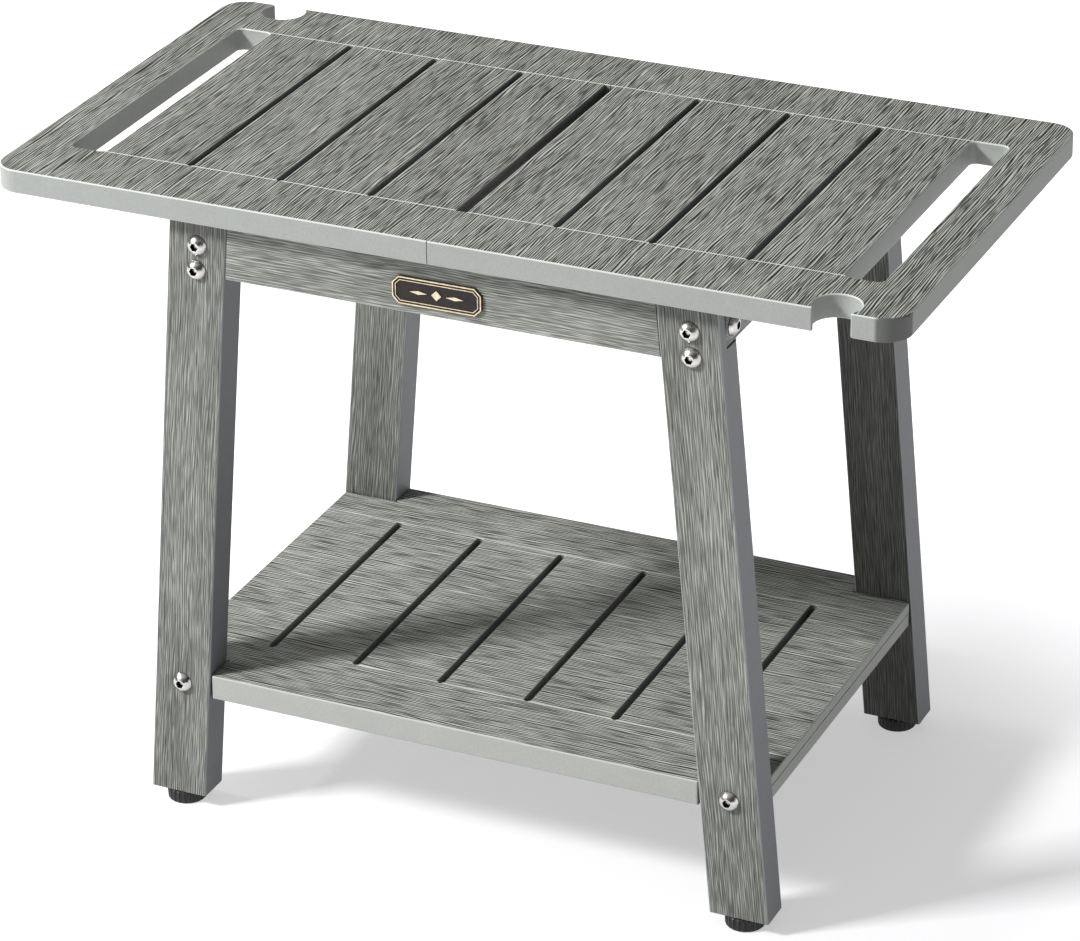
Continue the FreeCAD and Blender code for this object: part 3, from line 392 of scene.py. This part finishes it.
def black_plastic():
    """Scuffed matt plastic of the feet."""
    tree = Tree("black_plastic")
    where = tree.coordinate("Object")
    grain = tree.noise(where, (1500, 1500, 1500), detail=2.0)
    scuff = tree.noise(where, (120, 120, 300), detail=3.0)
    black, dusty = (0.010, 0.010, 0.011, 1), (0.022, 0.022, 0.023, 1)
    tree.set(
        Base_Color=tree.mix(tree.ramp(scuff, 0.4, 0.7), black, dusty),
        Roughness=tree.ramp(scuff, 0.3, 0.7, 0.38, 0.58),
        Specular_IOR_Level=0.45,
        Normal=tree.bump(grain, 0.03 * MM, 0.5),
    )
    return tree.material


def badge_metal(field_y, rim_y):
    """Dark bronze in the field, pale gold on the raised rims and lozenges."""
    tree = Tree("badge_metal")
    where = tree.coordinate("Object")
    height = tree.ramp(tree.separate(where)[1], field_y, rim_y, smooth=True)
    cloud = tree.noise(where, (240, 240, 240), detail=3.0)
    stipple = tree.noise(where, (2200, 2200, 2200), detail=2.0)
    field = tree.mix(tree.ramp(cloud, 0.3, 0.7), (0.012, 0.009, 0.008, 1), (0.028, 0.021, 0.019, 1))
    gold = tree.mix(tree.ramp(cloud, 0.3, 0.7), (0.52, 0.42, 0.28, 1), (0.80, 0.70, 0.52, 1))
    tree.set(
        Base_Color=tree.mix(height, field, gold),
        Metallic=tree.ramp(height, 0.0, 1.0, 0.1, 0.9),
        Specular_IOR_Level=0.25,
        Roughness=tree.ramp(cloud, 0.3, 0.7, 0.40, 0.55),
        Normal=tree.bump(stipple, 0.02 * MM, 0.5),
    )
    return tree.material


FLOOR_BOUNCE = 0.24  # the share of the floor's glow that lights the bench
SHADE_MIDDLE = (0.10, -0.06, 0.0)
SHADE_INNER, SHADE_OUTER = 0.24, 0.52


def floor_paper():
    """White paper with a glow that hides its far edge, dimmer in a round patch under the
    bench so that the shadows show."""
    tree = Tree("floor_paper")
    where = tree.coordinate("Object")
    fleck = tree.noise(where, (30, 30, 30), detail=4.0)
    beside = tree.vector("SUBTRACT", where, SHADE_MIDDLE)
    reach = tree.math("SQRT", tree.vector("DOT_PRODUCT", beside, beside))
    glow = tree.ramp(reach, SHADE_INNER, SHADE_OUTER, 0.48, 0.90, smooth=True)
    bounce = tree.nodes.new("ShaderNodeLightPath").outputs["Is Diffuse Ray"]
    pale, paler = (0.515, 0.513, 0.522, 1), (0.525, 0.523, 0.532, 1)
    tree.set(
        Base_Color=tree.mix(tree.ramp(fleck, 0.3, 0.7), pale, paler),
        Roughness=0.75,
        Specular_IOR_Level=0.2,
        Emission_Color=(1.0, 0.995, 1.01, 1),
        Emission_Strength=tree.math("MULTIPLY", glow, tree.ramp(bounce, 0.0, 1.0, 1.0, FLOOR_BOUNCE)),
    )
    return tree.material


# ------------------------------------------------------------------ the pieces


def dress(names, material):
    for name in names:
        slots = nodes[name].data.materials
        slots.clear()
        slots.append(material)


SEAT_GRAIN = dict(ridges=1.8, coarse=0.3, slots=SEAT_SLOTS, seat_rim_highlights=True)
dress(
    ["top_panel_left"],
    board("top_board_left", Y_AXIS, Z_AXIS, 1.0, tone=0.74, **SEAT_GRAIN),
)
dress(
    ["top_panel_right"],
    board("top_board_right", Y_AXIS, Z_AXIS, 2.0, tone=0.75, skinned_corner=True, **SEAT_GRAIN),
)
dress(
    ["shelf"],
    board(
        "shelf_board", X_AXIS, Z_AXIS, 3.0, tone=0.94, ridges=1.6, run=1.8, coarse=0.45,
        sides=SHELF_CUT, edge_wear_and_highlight=1.1, slots=SHELF_SLOTS,
    ),
)
dress(["apron_front"], board("apron_board_front", X_AXIS, Y_AXIS, 4.0, tone=1.02))
dress(["apron_back"], board("apron_board_back", X_AXIS, Y_AXIS, 5.0))
dress(["side_rail_right"], board("rail_board_right", Y_AXIS, X_AXIS, 6.0, sides=SKIN_FACE))
dress(["side_rail_left"], board("rail_board_left", Y_AXIS, X_AXIS, 7.0, sides=SKIN_FACE))
for where, seed in (("front", 8.0), ("back", 9.0)):
    rail = board(f"inner_board_{where}", X_AXIS, Y_AXIS, seed, tone=0.9, sides=SKIN_FACE)
    dress([f"seat_rail_{where}"], rail)

LEG_LEAN = 0.0875  # how far a leg leans outwards for each metre down
# Each leg's noise seed, grain tone and plain-face colour. The back right leg's low tone is painted
# shade from the seat and shelf above it; the front left leg's darker plain faces are painted shade, and
# the back left leg's paler ones are painted light.
LEGS = {
    "front_left": (10.0, 0.79, shade(SKIN_FACE, 0.66)),
    "front_right": (11.0, 0.84, SKIN_FACE),
    "back_left": (12.0, 0.67, shade(SKIN_FACE, 1.15)),
    "back_right": (13.0, 0.41, SKIN_FACE),
}
for corner, (seed, tone, sides) in LEGS.items():
    side = 1 if corner.endswith("right") else -1
    along = (-side * LEG_LEAN, 0, 1)
    dress([f"leg_{corner}"], board(f"leg_board_{corner}", along, Y_AXIS, seed, tone, sides=sides))
badge_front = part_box("badge_plate")[0].y
# The badge's field lies 0.6 mm behind the fronts of its rims and lozenges.
dress(["badge_plate"], badge_metal(badge_front + 0.55 * MM, badge_front + 0.25 * MM))
dress(["leg_bolts", "shelf_bolts", "side_rail_bolts"], polished_steel())
dress(["seat_rail_inserts", "shelf_inserts", "leg_inserts", "foot_inserts"], turned_brass())
zinc = zinc_steel()
dress(["apron_screws", "panel_screws"], zinc)
plastic = black_plastic()
for corner in LEGS:
    dress([f"foot_stud_{corner}"], zinc)
    dress([f"foot_knob_{corner}"], plastic)


# ------------------------------------------------------------ floor and lights

FLOOR_HALF = 14.0
FLOOR_DROP = 0.2 * MM  # below the feet, so that the two faces don't coincide
floor_mesh = bpy.data.meshes.new("floor")
floor_mesh.from_pydata(
    [(x * FLOOR_HALF, y * FLOOR_HALF, -FLOOR_DROP) for x, y in ((-1, -1), (1, -1), (1, 1), (-1, 1))],
    [],
    [(0, 1, 2, 3)],
)
floor = bpy.data.objects.new("floor", floor_mesh)
bpy.context.scene.collection.objects.link(floor)
floor_mesh.materials.append(floor_paper())


def aimed(direction):
    """The rotation that points an object's -Z along a direction."""
    return Vector(direction).to_track_quat("-Z", "Y").to_euler()


def add_light(kind, name, **settings):
    data = bpy.data.lights.new(name, kind)
    for key, value in settings.items():
        setattr(data, key, value)
    lamp = bpy.data.objects.new(name, data)
    bpy.context.scene.collection.objects.link(lamp)
    return lamp


def add_sun(name, direction, strength, softness):
    """A sun whose softness is its angle in degrees."""
    lamp = add_light("SUN", name, energy=strength, angle=math.radians(softness))
    lamp.rotation_euler = aimed(direction)


def add_panel(name, place, target, side, power):
    lamp = add_light("AREA", name, shape="SQUARE", size=side, energy=power)
    lamp.location = place
    lamp.rotation_euler = aimed(Vector(target) - Vector(place))


KEY_WAY = Vector((1.0, 0.88, -1.0)).normalized()
KEY_DISTANCE = 4.2
KEY_TARGET = Vector((0, 0, 0.3))
KEY_SIDE = 0.72
add_panel("key", KEY_TARGET - KEY_WAY * KEY_DISTANCE, KEY_TARGET, KEY_SIDE, power=235)
add_sun("kicker", (1.0, 0.0, -1.0), strength=0.5, softness=3.0)
add_sun("fill", (-1.0, 0.0, -0.05), strength=0.55, softness=40.0)

# A soft dome lights the bench, brightest overhead, a little to the left; the camera
# sees plain white.
SKY_WAY = Vector((-0.40, -0.15, 0.90)).normalized()
SKY_LOW, SKY_HIGH = 0.3, 1.0  # where the dome starts and ends to brighten
SKY_DARK, SKY_BRIGHT = 0.03, 0.60
world = bpy.data.worlds.new("studio")
world.use_nodes = True
sky = world.node_tree.nodes
sky_links = world.node_tree.links
direction = sky.new("ShaderNodeTexCoord").outputs["Generated"]
toward = sky.new("ShaderNodeVectorMath")
toward.operation = "DOT_PRODUCT"
toward.inputs[1].default_value = SKY_WAY
sky_links.new(direction, toward.inputs[0])
dome = sky.new("ShaderNodeMapRange")
dome.interpolation_type = "SMOOTHSTEP"
for socket, value in zip(dome.inputs[1:], (SKY_LOW, SKY_HIGH, SKY_DARK, SKY_BRIGHT)):
    socket.default_value = value
sky_links.new(toward.outputs["Value"], dome.inputs[0])
backdrop = sky.new("ShaderNodeMix")
backdrop.inputs[3].default_value = 1.0
sky_links.new(sky.new("ShaderNodeLightPath").outputs["Is Camera Ray"], backdrop.inputs[0])
sky_links.new(dome.outputs[0], backdrop.inputs[2])
sky_links.new(backdrop.outputs[0], sky["Background"].inputs["Strength"])
sky["Background"].inputs["Color"].default_value = (1, 1, 1, 1)
bpy.context.scene.world = world
bpy.context.scene.view_settings.view_transform = "Standard"


# ---------------------------------------------------------------------- camera

CAMERA_PLACE = Vector((1.09758, -2.37998, 1.52469))
AZIMUTH = math.radians(24.801)
ELEVATION = math.radians(26.444)
ROLL = math.radians(-0.805)
FOCAL_LENGTH, SENSOR_WIDTH = 146.45, 36.0
ahead = Vector((
    -math.cos(ELEVATION) * math.sin(AZIMUTH),
    math.cos(ELEVATION) * math.cos(AZIMUTH),
    -math.sin(ELEVATION),
))
level = Vector((math.cos(AZIMUTH), math.sin(AZIMUTH), 0))
upright = level.cross(ahead)
right = math.cos(ROLL) * level + math.sin(ROLL) * upright
up = -math.sin(ROLL) * level + math.cos(ROLL) * upright
lens = bpy.data.cameras.new("camera")
lens.lens = FOCAL_LENGTH
lens.sensor_width = SENSOR_WIDTH
lens.sensor_fit = "HORIZONTAL"
lens.clip_start = 0.05
lens.clip_end = 60
camera = bpy.data.objects.new("camera", lens)
turned = Matrix((right, up, -ahead)).transposed().to_4x4()
camera.matrix_world = Matrix.Translation(CAMERA_PLACE) @ turned
bpy.context.scene.collection.objects.link(camera)
bpy.context.scene.camera = camera
